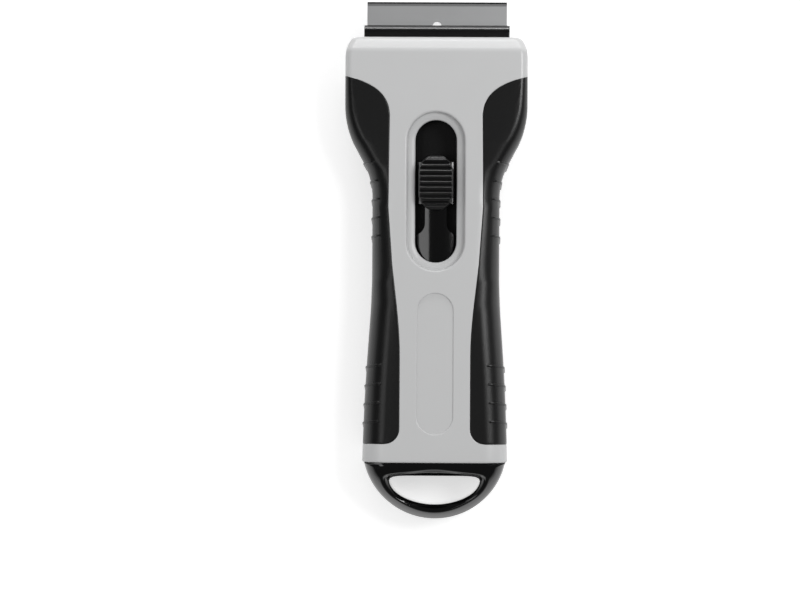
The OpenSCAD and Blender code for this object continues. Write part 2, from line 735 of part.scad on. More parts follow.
module blade_clamp() {
    nose = min(nose_r, clamp_t / 2);
    color(moulded_black) difference() {
        union() {
            block([-jaw_w / 2, jaw_back_y, clamp_z], [jaw_w / 2, jaw_y - nose, clamp_top]);
            block([-jaw_w / 2, jaw_y - nose - 1, clamp_z], [jaw_w / 2, jaw_y, clamp_top - nose]);
            translate([0, jaw_y - nose, clamp_top - nose]) rotate([0, 90, 0])
                cylinder(jaw_w, nose, nose, center = true);
        }
        translate([0, clamp_screw_y, clamp_z - 1])
            cylinder(deep, clamp_screw_d / 2 + screw_gap, clamp_screw_d / 2 + screw_gap);
        translate([0, clamp_screw_y, clamp_seat_z])
            cylinder(2, clamp_head_d / 2 + 0.1, clamp_head_d / 2 + 0.1);
        block([-stem_w / 2, jaw_back_y - 1, clamp_top - 0.8], [stem_w / 2, jaw_back_y + 2.5, clamp_top + 1]);
    }
}

module clamp_screw() {
    color(steel) translate([0, clamp_screw_y, 0]) difference() {
        union() {
            translate([0, 0, clamp_seat_z]) cylinder(clamp_head_t, clamp_head_d / 2, clamp_head_d / 2);
            translate([0, 0, carrier_z + 0.8])
                cylinder(clamp_seat_z - carrier_z - 0.5, clamp_screw_d / 2, clamp_screw_d / 2);
        }
        cross_slot(clamp_seat_z + clamp_head_t - 0.6, 2);
    }
}

// Outline of the lever from above, from its tail behind the pivot to the pad under the button
module lever_plan() {
    flare_r = (lever_w - neck_w) / 2;
    neck_y = button_y - button_l / 2 - neck_l;
    pad_l = button_l - 4;
    difference() {
        union() {
            block([-lever_w / 2, slot_rear - lever_tail, -deep], [lever_w / 2, neck_y, deep]);
            block([-neck_w / 2, neck_y - 1, -deep], [neck_w / 2, button_y, deep]);
            block([1 - lever_w / 2, button_y - pad_l / 2, -deep],
                [lever_w / 2 - 1, button_y + pad_l / 2, deep]);
            block([-lever_w / 2, stop_y - tooth_l / 2, -deep], [lever_w / 2, stop_y + tooth_l / 2, deep]);
        }
        at_both_sides() translate([lever_w / 2, neck_y, -deep]) cylinder(2 * deep, flare_r, flare_r);
    }
}

// Round bar along the handle that crowns the lever; it is larger by a gap where it shapes the button
module crown(gap) {
    translate([0, 0, lever_z - crown_r]) rotate([90, 0, 0])
        cylinder(4 * deep, crown_r + gap, crown_r + gap, center = true);
}

module lock_lever() {
    hub_w = 2 * (ear_x - 0.2);
    hub_r = ear_r + 0.2;
    peg_z = stem_z + peg_h + press_drop + 0.6;
    color(gloss_black) difference() {
        union() {
            intersection() {
                lever_plan();
                block([-deep, slot_rear - lever_tail, lever_z - lever_t], [deep, slot_front, lever_z]);
                crown(0);
            }
            at_both_sides() block([slot_w / 2 + 0.2, stop_y - tooth_l / 2, lever_z - lever_t + 0.2],
                [lever_w / 2, stop_y + tooth_l / 2, stop_z - stop_gap]);
            translate([0, pivot_y, pivot_z]) rotate([0, 90, 0]) cylinder(hub_w, hub_r, hub_r, center = true);
            block([-hub_w / 2, pivot_y - ear_r, pivot_z], [hub_w / 2, pivot_y + ear_r, lever_z - 1]);
            translate([0, button_y, peg_z]) cylinder(lever_z - 1 - peg_z, peg_r, peg_r);
        }
        translate([0, pivot_y, pivot_z]) rotate([0, 90, 0])
            cylinder(deep, pin_d / 2 + pin_gap, pin_d / 2 + pin_gap, center = true);
        for (s = [-1, 1]) translate([0, button_y + s * stud_y, lever_z - lever_t - 1])
            cylinder(deep, stud_d / 2 + 0.05, stud_d / 2 + 0.05);
    }
}

module lever_pin() {
    color(steel) translate([0, pivot_y, pivot_z]) rotate([0, 90, 0])
        cylinder(2 * (ear_x + ear_t), pin_d / 2, pin_d / 2, center = true);
}

// Side view of the button: ridges on a gently domed face
module button_profile() {
    function dome(y) = button_z - 0.5 * pow(2 * y / button_l, 2);
    first = -(ridges - 1) * ridge_pitch / 2;
    polygon(concat(
        [[button_l / 2 + 1, lever_z - 1], [button_l / 2 + 1, dome(button_l / 2) - 1.2]],
        [[button_l / 2 - 0.7, dome(button_l / 2) - ridge_h]],
        [for (i = [ridges - 1 : -1 : 0]) let (y = first + i * ridge_pitch) each [
            [y + 0.3 * ridge_pitch, dome(y) - ridge_h], [y + 0.12 * ridge_pitch, dome(y)],
            [y - 0.12 * ridge_pitch, dome(y)], [y - 0.3 * ridge_pitch, dome(y) - ridge_h]]],
        [[-button_l / 2 + 0.7, dome(button_l / 2) - ridge_h]],
        [[-button_l / 2 - 1, dome(button_l / 2) - 1.2], [-button_l / 2 - 1, lever_z - 1]]));
}

module thumb_button() {
    color(soft_black) {
        difference() {
            translate([0, button_y, 0]) intersection() {
                translate([0, 0, lever_z - 1]) stadium(button_l, button_w / 2, deep);
                rotate([90, 0, 90]) linear_extrude(deep, center = true) button_profile();
            }
            crown(0.01);
        }
        for (s = [-1, 1]) translate([0, button_y + s * stud_y, lever_z - lever_t + 0.3])
            cylinder(lever_t + 0.5, stud_d / 2, stud_d / 2);
    }
}

// Coil round an upright axis, one tube from end to end
module return_spring() {
    r = (spring_d - wire_d) / 2;
    low = stem_z + wire_d / 2 + 0.05;
    high = lever_z - lever_t - wire_d / 2 - 0.05;
    steps = 12;
    color(steel) translate([0, button_y, 0]) skin([for (i = [0 : coils * steps])
        let (a = 360 * i / steps, z = low + (high - low) * i / (coils * steps))
        [for (b = [0 : 60 : 300]) let (s = r + wire_d / 2 * cos(b))
            [s * cos(a), s * sin(a), z + wire_d / 2 * sin(b)]]]);
}

// The round end, measured round the middle of its hole
loop_y = tail_y + loop_set;
loop_face = tail_y - tail_gap;
hole_y = tail_y - hole_front;
hole_r = loop_r - hole_rim;
hub_y = (hole_y + loop_y - hole_r) / 2;
hub = hub_y - loop_y;

// Distance from the hub to a circle round the centre of the end, or to a line across it
function to_circle(r, a) = -hub * sin(a) + sqrt(r * r - pow(hub * cos(a), 2));
function to_line(y, a) = sin(a) > 0.02 ? (y - hub_y) / sin(a) : 1000;
function loop_rim(a) = min(to_circle(loop_r, a), to_line(loop_face, a));
function loop_hole(a) = pow(pow(to_circle(hole_r, a), -12) + pow(to_line(hole_y, a), -12), -1 / 12);

// Height of the round end above and below its middle
loop_mid = handle_h / 2;
function loop_top(x, y) =
    let (t = ease(y, loop_face, loop_y - loop_r), s = loop_r - norm([x, y - loop_y]))
    let (h = (1 - t) * (handle_h / 2 - tail_r) + t * tip_h / 2, e = (1 - t) * handle_edge[0] + t * 2)
    let (b = (1 - t) * handle_edge[1] + t * 3)
    h - b * (1 - sqrt(1 - pow(max(0, e - max(0, s)) / e, 2)));

loop_angles = sorted(concat(
    [for (a = [-90 : 6 : 269]) [a]],
    let (x = sqrt(loop_r * loop_r - pow(loop_face - loop_y, 2)), a = atan((loop_face - hub_y) / x))
    [[a], [180 - a]]));

function loop_ring(a) =
    let (low = loop_hole(a), high = loop_rim(a))
    let (edge_out = min(6.5, high - low - hole_edge))
    let (reach = concat(
        [for (b = [0, 30, 60, 90]) [low + hole_edge * (1 - cos(b)), hole_edge * (1 - sin(b))]],
        [for (b = [70, 50, 30, 12, 0]) [high - edge_out * (1 - cos(b)), 0]]))
    let (top = [for (r = reach)
        let (x = r[0] * cos(a), y = hub_y + r[0] * sin(a)) [x, y, loop_top(x, y) - r[1]]])
    concat(
        [for (p = top) [p[0], p[1], loop_mid + p[2]]],
        [for (p = backwards(top)) [p[0], p[1], loop_mid - p[2]]]);

module hanging_loop() {
    w = tenon_w / 2 + tenon_gap;
    color(gloss_black) difference() {
        skin([for (a = loop_angles) backwards(loop_ring(a[0]))], "loop");
        block([-w, tail_y - tenon_l - tenon_gap, tray_z + 1 - tenon_gap],
            [w, tail_y + 1, tray_z + tray_h - 1 + tenon_gap]);
    }
}

module blade_tray() {
    w = tray_w / 2;
    color(moulded_black) {
        difference() {
            block([-w, tail_y, tray_z], [w, tray_front, tray_z + tray_h]);
            block([-w + tray_wall, tail_y + tray_wall, tray_z + tray_wall],
                [w - tray_wall, tray_front - tray_wall, deep]);
            translate([0, tray_front, tray_z - 1]) cylinder(deep, thumb_notch / 2, thumb_notch / 2);
        }
        block([-tenon_w / 2, tail_y - tenon_l, tray_z + 1],
            [tenon_w / 2, tail_y + tray_wall / 2, tray_z + tray_h - 1]);
    }
}

module spare_blade(i) {
    y = tray_front - tray_wall - tray_play - blade_w / 2;
    z = tray_z + tray_wall + 0.02 + (i - 1) * stack_pitch;
    color(steel) translate([0, y, z]) rotate([0, 0, 90]) translate([0, blade_l / 2, 0]) blade_form();
}

top_shell();
bottom_shell();
left_grip();
right_grip();
housing_screws();
blade_carrier();
blade_clamp();
clamp_screw();
blade();
lock_lever();
lever_pin();
thumb_button();
return_spring();
hanging_loop();
blade_tray();
spare_blade(1);  // spare_blade_1
spare_blade(2);  // spare_blade_2
spare_blade(3);  // spare_blade_3
spare_blade(4);  // spare_blade_4
spare_blade(5);  // spare_blade_5
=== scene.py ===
import math
from itertools import product

import bmesh
import bpy
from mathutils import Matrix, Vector
from mathutils.geometry import interpolate_bezier


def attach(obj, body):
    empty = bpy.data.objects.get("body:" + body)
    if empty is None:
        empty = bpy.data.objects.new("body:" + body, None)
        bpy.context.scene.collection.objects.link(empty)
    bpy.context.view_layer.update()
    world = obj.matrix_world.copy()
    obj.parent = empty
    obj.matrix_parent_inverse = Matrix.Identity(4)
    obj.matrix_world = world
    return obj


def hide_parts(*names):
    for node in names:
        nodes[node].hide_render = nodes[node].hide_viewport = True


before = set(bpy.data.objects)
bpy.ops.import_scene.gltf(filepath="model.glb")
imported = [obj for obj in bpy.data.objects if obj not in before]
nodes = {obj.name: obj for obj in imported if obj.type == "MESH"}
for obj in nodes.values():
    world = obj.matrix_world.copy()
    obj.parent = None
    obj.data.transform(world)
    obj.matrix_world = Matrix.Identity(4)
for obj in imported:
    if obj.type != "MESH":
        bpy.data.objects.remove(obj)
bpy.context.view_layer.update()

# Upper shell: the light grey half of the housing, moulded in one piece. Its round-edged form runs from
# the tail to the sloped lip; the slot with its dished surround and the long sunk panel are cut into it,
# and both sides are sunk for the soft grips. Lengths are in millimetres, +Y points to the blade.
mm = 0.001
lip_y, tail_y, parting_z = 62.0, -56.4, 10.0
head_w, waist_w, tail_w, handle_h = 50.7, 35.4, 40.4, 20.3
corner_r, corner_l, head_l = 8.5, 5.6, 13.7
shoulder_r, fillet_r, shoulder_angle = 25.0, 20.0, math.radians(28.8)
waist_l, crest_y, crest_r, sole_y, sole_r = 21.3, -5.0, 1250.0, 28.0, 137.0
facet_y, facet_slope, facet_soft = 58.3, math.tan(math.radians(32)), 0.6
lip_r, tail_r = 1.0, 0.6
heel_y, tip_y, heel_r = tail_y + 5.2, lip_y - 11.1, 4.2
panel_rear, panel_mid, panel_front = 9.8, 13.2, 12.9

corner_y = lip_y - corner_l
shoulder_y = corner_y - head_l
diagonal_y = shoulder_y - shoulder_r * math.sin(shoulder_angle)
round_drop = (shoulder_r + fillet_r) * (1 - math.cos(shoulder_angle))
fillet_y = diagonal_y - ((head_w - waist_w) / 2 - round_drop) / math.tan(shoulder_angle)
waist_y = fillet_y - fillet_r * math.sin(shoulder_angle)
flare_y = waist_y - waist_l
flare_l = flare_y - tail_y


def ease(v, a, b):
    t = min(1.0, max(0.0, (v - a) / (b - a)))
    return t * t * (3 - 2 * t)


def arc_drop(r, s):
    return r - math.sqrt(max(0.0, r * r - max(0.0, s) ** 2))


def lookup(y, line):
    """x on a line of (x, y) points, by y"""
    for a, b in zip(line, line[1:]):
        if a[1] <= y <= b[1]:
            return a[0] + (b[0] - a[0]) * (y - a[1]) / max(1e-9, b[1] - a[1])
    return line[0][0] if y < line[0][1] else line[-1][0]


def bezier(a, b, c, d, n):
    return [(p[0], p[1]) for p in interpolate_bezier(*(Vector((*q, 0)) for q in (a, b, c, d)), n)]


flare = bezier((tail_w / 2, tail_y), (tail_w / 2 - 0.7, tail_y + 0.58 * flare_l),
               (waist_w / 2, tail_y + 0.75 * flare_l), (waist_w / 2, flare_y), 25)


def end_round(y):
    return arc_drop(lip_r, y - lip_y + lip_r) + arc_drop(tail_r, tail_y + tail_r - y)


def half_w(y):
    if y > shoulder_y:
        w = head_w / 2 - arc_drop(corner_r, y - corner_y)
    elif y > diagonal_y:
        w = head_w / 2 - arc_drop(shoulder_r, shoulder_y - y)
    elif y > fillet_y:
        w = waist_w / 2 + arc_drop(fillet_r, fillet_y - waist_y) + (y - fillet_y) * math.tan(shoulder_angle)
    elif y > waist_y:
        w = waist_w / 2 + arc_drop(fillet_r, y - waist_y)
    else:
        w = lookup(y, flare)
    return w - end_round(y)


def top_z(y):
    s = y - facet_y
    facet = max(0.0, s) if abs(s) > facet_soft else (s + facet_soft) ** 2 / (4 * facet_soft)
    return handle_h - max(0.0, y - crest_y) ** 2 / (2 * crest_r) - facet * facet_slope - end_round(y)


def sole_z(y):
    return max(0.0, y - sole_y) ** 2 / (2 * sole_r) + end_round(y)


heel_arc = [(panel_rear + heel_r * (1 - math.sin(a)), heel_y + heel_r * (1 - math.cos(a)))
            for a in (math.radians(d) for d in (0, 18, 34, 50, 64, 77, 90))]
middle_curve = bezier((panel_rear, crest_y - 21), (panel_rear, crest_y - 9),
                      (panel_mid, crest_y + 7), (panel_mid, crest_y + 19), 13)
tip_curve = bezier((panel_front, tip_y - 11.2), (panel_front, tip_y - 4.7),
                   (head_w / 2 - 7.6, tip_y - 1.8), (head_w / 2, tip_y), 22)
panel_line = heel_arc + middle_curve + tip_curve
wrap_w = 4.2

slot_w, slot_rear, slot_front, rim_w = 11.5, -0.8, 38.8, 2.85
badge_y, badge_l, badge_w, badge_d = tail_y + 7.9, 39.15, 10.0, 0.35
stations = sorted(
    [tail_y + 0.06, tail_y + 0.2, tail_y + 0.6, flare_y - 1, flare_y + 2.6]
    + [p[1] for p in heel_arc] + [p[1] for p in tip_curve]
    + [tip_y - back for back in (0.72, 0.6, 0.48, 0.37, 0.28, 0.2, 0.14, 0.09, 0.045)]
    + [heel_y + heel_r + 2.9 * i for i in range(1, 15)]
    + [waist_y - 2.6 + (fillet_y - waist_y + 2.6) * i / 7 for i in range(8)]
    + [diagonal_y + (shoulder_y - diagonal_y) * i / 8 for i in range(1, 9)]
    + [tip_y + 2.5, corner_y]
    + [facet_y + step for step in (-0.6, -0.3, 0, 0.3, 0.6, 1.4, 2.1)]
    + [lip_y - back for back in (1, 0.75, 0.5, 0.3, 0.13, 0.04)])
ends = [slot_rear - rim_w, slot_front + rim_w, badge_y, badge_y + badge_l]
stations = [y for i, y in enumerate(stations) if (i == 0 or y - stations[i - 1] > 0.03)
            and not any(abs(y - end) < 0.3 for end in ends)]
side_n, seam_top, seam_back = 47, 14, 38
ring_n = 2 * side_n


def section_path(y, side_in, skin_in):
    """the right half of the section at y as (x, z, cost): top, side and back.

    The cost grows with the length and faster with the turned angle, so that even steps of it set the
    points closer on the round corners."""
    t = ease(y, waist_y, tip_y)
    w, top, sole = half_w(y) - side_in, top_z(y) - skin_in, sole_z(y) + skin_in
    tx, tz, bx, bz = (max(0.5, (1 - t) * a + t * b - side_in) for a, b in
                      ((6.5, 2.2), (6.0, 2.2), (5.5, 3.0), (5.0, 2.6)))
    turns = [math.radians(d) for d in range(0, 91, 5)]
    line = [(w * 0.3 if side_in > 3 else 5.0, top, 0)]
    line += [(w - tx + tx * math.sin(a), top - tz + tz * math.cos(a), a) for a in turns]
    line += [(w, parting_z, turns[-1])]
    line += [(w - bx + bx * math.cos(a), sole + bz - bz * math.sin(a), turns[-1] + a) for a in turns]
    line += [(w * 0.3 if side_in > 3 else 5.0, sole, math.pi)]
    path, cost = [], 0.0
    for i, (x, z, a) in enumerate(line):
        if i:
            px, pz, pa = line[i - 1]
            cost += 0.05 * math.hypot(x - px, z - pz) + (a - pa)
        path.append((x, z, cost))
    return path


def path_cost(path, x, back):
    """where on a section path the surface passes x, on the top or on the back"""
    half = len(path) // 2
    part = path[half:] if back else path[:half + 1]
    for (x1, z1, c1), (x2, z2, c2) in zip(part, part[1:]):
        if min(x1, x2) <= x <= max(x1, x2) and abs(x1 - x2) > 1e-9:
            return c1 + (c2 - c1) * (x - x1) / (x2 - x1)
    return part[1][2] if back else part[-2][2]


def step_along(path, cost, length):
    """the cost that lies a length in millimetres further along the path"""
    x, z = path_point(path, cost)
    for i in range(1, 400):
        c = cost + math.copysign(0.004 * i, length)
        px, pz = path_point(path, c)
        if math.hypot(px - x, pz - z) >= abs(length) or not 0 < c < path[-1][2]:
            return c
    return cost


def path_point(path, cost):
    for (x1, z1, c1), (x2, z2, c2) in zip(path, path[1:]):
        if c1 <= cost <= c2 and c2 > c1:
            k = (cost - c1) / (c2 - c1)
            return x1 + (x2 - x1) * k, z1 + (z2 - z1) * k
    return path[-1][:2] if cost > 0 else path[0][:2]


def section_ring(y, side_in=0.0, skin_in=0.0):
    """the section at y as a ring of points whose places 14 and 38 on each side are the grip's seams"""
    path = section_path(y, side_in, skin_in)
    w = path[len(path) // 2][0]
    seam = path_cost(path, min(w, lookup(y, panel_line)), False)
    back = path_cost(path, w - max(0.35, wrap_w * (1 - ease(y, tip_y - 10, tip_y))), True)
    middle, end = path[len(path) // 2][2], path[-1][2]
    before, after = step_along(path, seam, -0.9), step_along(path, seam, 0.6)
    costs = [before * i / (seam_top - 1) for i in range(seam_top)] + [seam]
    costs += [after + (middle - after) * i / 13 for i in range(13)]
    costs += [middle + (back - middle) * i / 10 for i in range(10)]
    costs += [back + (end - back) * i / 8 for i in range(9)]
    half = [path_point(path, c) for c in costs]
    return [(x, y, z) for x, z in half] + [(-x, y, z) for x, z in reversed(half)]


def start(name):
    """names the newest object and opens it in edit mode"""
    piece = bpy.context.object
    piece.name = piece.data.name = name
    bpy.ops.object.transform_apply(location=True, rotation=True, scale=True)
    bpy.ops.object.mode_set(mode="EDIT")
    bpy.ops.mesh.select_mode(type="VERT")
    return piece


def prism(name, rings):
    """closed body from an outline of (x, y, z) points, extruded to each next outline"""
    bpy.ops.object.select_all(action="DESELECT")
    bpy.ops.mesh.primitive_circle_add(vertices=len(rings[0]), radius=mm, fill_type="NGON")
    body = start(name)
    bm = bmesh.from_edit_mesh(body.data)
    for v, p in zip(bm.verts, rings[0]):
        v.co = Vector(p) * mm
    for ring in rings[1:]:
        bpy.ops.mesh.extrude_region_move(TRANSFORM_OT_translate={"value": (0, 0, 0)})
        bm = bmesh.from_edit_mesh(body.data)
        for v, p in zip([v for v in bm.verts if v.select], ring):
            v.co = Vector(p) * mm
    bpy.ops.mesh.select_all(action="SELECT")
    bpy.ops.mesh.normals_make_consistent(inside=False)
    bpy.ops.object.mode_set(mode="OBJECT")
    return body


def edit(piece, kind="VERT"):
    """opens one piece in edit mode with nothing selected"""
    bpy.ops.object.select_all(action="DESELECT")
    piece.select_set(True)
    bpy.context.view_layer.objects.active = piece
    bpy.ops.object.mode_set(mode="EDIT")
    bpy.ops.mesh.select_mode(type=kind)
    bpy.ops.mesh.select_all(action="DESELECT")
    return bmesh.from_edit_mesh(piece.data)


def select_grip(piece, sides=(1, -1)):
    """selects the faces between the seams of the form, by the places of their corners in the rings"""
    bm = edit(piece, "FACE")
    first = min(range(len(stations)), key=lambda i: abs(stations[i] - heel_y)) + 1
    last = min(range(len(stations)), key=lambda i: abs(stations[i] - tip_y)) + 1
    zones = {1: (seam_top, seam_back), -1: (ring_n - 1 - seam_back, ring_n - 1 - seam_top)}
    for f in bm.faces:
        places = [divmod(v.index, ring_n) for v in f.verts]
        f.select = any(all(first <= row <= last and low <= place <= high for row, place in places)
                       for low, high in (zones[s] for s in sides))
    bm.select_flush(True)
    bmesh.update_edit_mesh(piece.data)


def box_tool(name, low, high):
    """plain box between two corners, to cut with"""
    bpy.ops.object.select_all(action="DESELECT")
    middle = [(a + b) / 2 * mm for a, b in zip(low, high)]
    lengths = [(b - a) * mm for a, b in zip(low, high)]
    bpy.ops.mesh.primitive_cube_add(size=1, location=middle, scale=lengths)
    tool = start(name)
    bpy.ops.object.mode_set(mode="OBJECT")
    return tool


def boolean(piece, operation, *tools, keep=False):
    """cuts, keeps or adds what the tools hold, one after the other"""
    bpy.ops.object.select_all(action="DESELECT")
    piece.select_set(True)
    bpy.context.view_layer.objects.active = piece
    for tool in tools:
        step = piece.modifiers.new("step", "BOOLEAN")
        step.operation, step.solver, step.object = operation, "EXACT", tool
        bpy.ops.object.modifier_apply(modifier=step.name)
        if not keep:
            bpy.data.objects.remove(tool)


def copy_of(piece, name):
    copy = piece.copy()
    copy.data = piece.data.copy()
    copy.name = copy.data.name = name
    bpy.context.scene.collection.objects.link(copy)
    return copy


def soften(piece, width, segments, test):
    """bevels the edges that pass the test on their two ends, in millimetres, and their two normals"""
    bm = edit(piece, "EDGE")
    for e in bm.edges:
        if len(e.link_faces) == 2 and e.calc_face_angle(0) > math.radians(25):
            e.select = bool(test(*(v.co / mm for v in e.verts), *(f.normal for f in e.link_faces)))
    bmesh.update_edit_mesh(piece.data)
    bpy.ops.mesh.bevel(offset=width * mm, segments=segments, affect="EDGES", clamp_overlap=False)
    bpy.ops.mesh.select_mode(type="VERT")
    bpy.ops.object.mode_set(mode="OBJECT")


def finish_piece(piece, angle=32):
    """merges doubles, smooths the shading and settles the normals on the large faces"""
    bpy.ops.object.select_all(action="DESELECT")
    piece.select_set(True)
    bpy.context.view_layer.objects.active = piece
    bpy.ops.object.mode_set(mode="EDIT")
    bpy.ops.mesh.select_all(action="SELECT")
    bpy.ops.mesh.remove_doubles(threshold=0.002 * mm)
    bpy.ops.mesh.dissolve_degenerate(threshold=0.002 * mm)
    bpy.ops.object.mode_set(mode="OBJECT")
    bpy.ops.object.shade_smooth_by_angle(angle=math.radians(angle))
    settle = piece.modifiers.new("settle", "WEIGHTED_NORMAL")
    settle.keep_sharp = True
    bpy.ops.object.modifier_apply(modifier=settle.name)


def half_of(form, name, sign):
    """the part of a form above (1) or below (-1) the parting plane"""
    half = copy_of(form, name)
    bpy.ops.object.select_all(action="DESELECT")
    half.select_set(True)
    bpy.context.view_layer.objects.active = half
    bpy.ops.object.mode_set(mode="EDIT")
    bpy.ops.mesh.select_all(action="SELECT")
    bpy.ops.mesh.bisect(plane_co=(0, 0, parting_z * mm), plane_no=(0, 0, sign), use_fill=True,
                        clear_inner=True, threshold=1e-7)
    bpy.ops.object.mode_set(mode="OBJECT")
    return half


def stadium_ring(r, low_y, high_y, z, n=24):
    """outline with round ends; z is a height, or gives one for each y"""
    ends = [(high_y - r, 0), (low_y + r, math.pi)]
    flat = [(r * math.cos(turn + math.pi * i / (n - 1)), y + r * math.sin(turn + math.pi * i / (n - 1)))
            for y, turn in ends for i in range(n)]
    sides = [(-r, high_y - r, low_y + r), (r, low_y + r, high_y - r)]
    rounded = flat[:n] + [(x, a + (b - a) * i / 12) for x, a, b in sides[:1] for i in range(1, 12)]
    rounded += flat[n:] + [(x, a + (b - a) * i / 12) for x, a, b in sides[1:] for i in range(1, 12)]
    return [(x, y, z(y) if callable(z) else z) for x, y in rounded]


grip_depth = 1.54
form_y = [tail_y] + stations + [lip_y]
shell_form = prism("shell_form", [section_ring(y) for y in form_y])
grip_form = copy_of(shell_form, "grip_form")
seam_places = set()
for y in form_y:
    ring = section_ring(y)
    whole = abs(y - heel_y) < 0.001 or abs(y - tip_y) < 0.001
    if heel_y - 0.001 < y < tip_y + 0.001:
        for i in range(seam_top, seam_back + 1) if whole else (seam_top, seam_back):
            seam_places |= {ring[i], ring[ring_n - 1 - i]}
seam_places = {place for p in seam_places
               for place in product(*((math.floor(c * 100), math.floor(c * 100) + 1) for c in p))}


def on_seam(*ends):
    """whether the two ends of an edge lie on a seam, short of its thin front tip"""
    return all(tuple(round(c * 100) for c in p) in seam_places and p.y < tip_y - 0.8 for p in ends)


select_grip(shell_form)
bpy.ops.mesh.extrude_region_shrink_fatten(TRANSFORM_OT_shrink_fatten={"value": -grip_depth * mm})
bpy.ops.object.mode_set(mode="OBJECT")
bm = edit(shell_form, "EDGE")
for e in bm.edges:
    p, q = (v.co / mm for v in e.verts)
    e.select = any(abs(p.y - y) < 0.01 and abs(q.y - y) < 0.01 for y in (heel_y, tip_y)) and (
        e.calc_face_angle(0) < math.radians(20) and p.z > 12 and q.z > 12)
bmesh.update_edit_mesh(shell_form.data)
bpy.ops.mesh.dissolve_edges(use_verts=False)
bpy.ops.object.mode_set(mode="OBJECT")

side_wall, skin_wall = 3.34, 3.7
hollow_y = [tail_y + 2.3] + [y for y in stations if tail_y + 3 < y < facet_y - 1] + [facet_y]
hollow_form = prism("hollow_form", [section_ring(y, side_wall, skin_wall) for y in hollow_y])
rim_z = 18.1


def sunk(depth):
    """height that far below the crowned top, and level near the foot of the recess"""
    share = max(0.0, 1 - depth / (handle_h - rim_z))
    return lambda y: handle_h - depth - (handle_h - top_z(y)) * min(1.0, 0.6 + 0.4 * share)


slot_foot = -12.0
slot_edge = [(0, slot_foot), (0, 3.0), (0.1, 2.72), (0.35, 2.5), (0.95, 2.34), (1.05, 2.24),
             (1.5, 2.17), (1.96, 2.14), (2.06, 2.0), (2.14, 1.3), (2.22, 0.6), (2.32, 0.3), (2.48, 0.12),
             (2.68, 0.03), (rim_w, -0.01), (3.6, -0.3)]
slot_tool = prism("slot_tool", [stadium_ring(slot_w / 2 + grow, slot_rear - grow, slot_front + grow,
                                             5 if depth == slot_foot else sunk(depth))
                                for grow, depth in slot_edge])
badge_edge = [(0, -badge_d), (0.05, -0.12), (0.22, -0.01), (0.8, 0.1), (0.8, 3)]
badge_tool = prism("badge_tool", [stadium_ring(badge_w / 2 + grow, badge_y - grow,
                                               badge_y + badge_l + grow, handle_h + rise)
                                  for grow, rise in badge_edge])
mouth_x, mouth_low, mouth_high = 20.6, 6.1, 12.72
tray_x, tray_low, tray_high = 11.0, 7.3, 12.1


def end_tools():
    """the mouth that the blade comes out of, and the opening of the tray in the tail"""
    return [box_tool("mouth_tool", (-mouth_x, facet_y - 1.2, mouth_low), (mouth_x, lip_y + 3, mouth_high)),
            box_tool("tail_tool", (-tray_x, tail_y - 3, tray_low), (tray_x, tail_y + 4, tray_high))]


upper_shell = half_of(shell_form, "upper_shell", 1)
boolean(upper_shell, "DIFFERENCE", hollow_form, keep=True)
boolean(upper_shell, "DIFFERENCE", slot_tool, badge_tool, *end_tools())
soften(upper_shell, 0.22, 3, lambda p, q, a, b: on_seam(p, q))
finish_piece(upper_shell)


def surface(name, colour, roughness, specular, grain, depth, mottle, clear=0.0, metal=0.0):
    """moulded or rolled surface: fine grain in the bump, and faint clouds in its colour and sheen"""
    mat = bpy.data.materials.new(name)
    mat.use_nodes = True
    tree = mat.node_tree
    shader = tree.nodes["Principled BSDF"]
    shader.inputs["Metallic"].default_value = metal
    shader.inputs["Specular IOR Level"].default_value = specular
    shader.inputs["Coat Weight"].default_value = clear
    shader.inputs["Coat Roughness"].default_value = 0.08
    place = tree.nodes.new("ShaderNodeTexCoord")
    fine = tree.nodes.new("ShaderNodeTexNoise")
    fine.inputs["Scale"].default_value = grain
    fine.inputs["Detail"].default_value = 3
    cloud = tree.nodes.new("ShaderNodeTexNoise")
    cloud.inputs["Scale"].default_value = grain / 22
    cloud.inputs["Detail"].default_value = 4
    bump = tree.nodes.new("ShaderNodeBump")
    bump.inputs["Strength"].default_value = 1
    bump.inputs["Distance"].default_value = depth * mm
    tint = tree.nodes.new("ShaderNodeMix")
    tint.data_type = "RGBA"
    tint.inputs["A"].default_value = (*[c * (1 - mottle) for c in colour], 1)
    tint.inputs["B"].default_value = (*[c * (1 + mottle) for c in colour], 1)
    rough = tree.nodes.new("ShaderNodeMapRange")
    rough.inputs["To Min"].default_value = roughness * 0.9
    rough.inputs["To Max"].default_value = roughness * 1.1
    link = tree.links.new
    link(place.outputs["Object"], fine.inputs["Vector"])
    link(place.outputs["Object"], cloud.inputs["Vector"])
    link(fine.outputs["Fac"], bump.inputs["Height"])
    link(bump.outputs["Normal"], shader.inputs["Normal"])
    link(cloud.outputs["Fac"], tint.inputs["Factor"])
    link(tint.outputs["Result"], shader.inputs["Base Color"])
    link(fine.outputs["Fac"], rough.inputs["Value"])
    link(rough.outputs["Result"], shader.inputs["Roughness"])
    return mat


shell_grey = surface("shell_grey", (0.585, 0.588, 0.59), 0.3, 0.5, 2600, 0.012, 0.015)
upper_shell.data.materials.append(shell_grey)
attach(upper_shell, "housing")
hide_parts("top_shell")

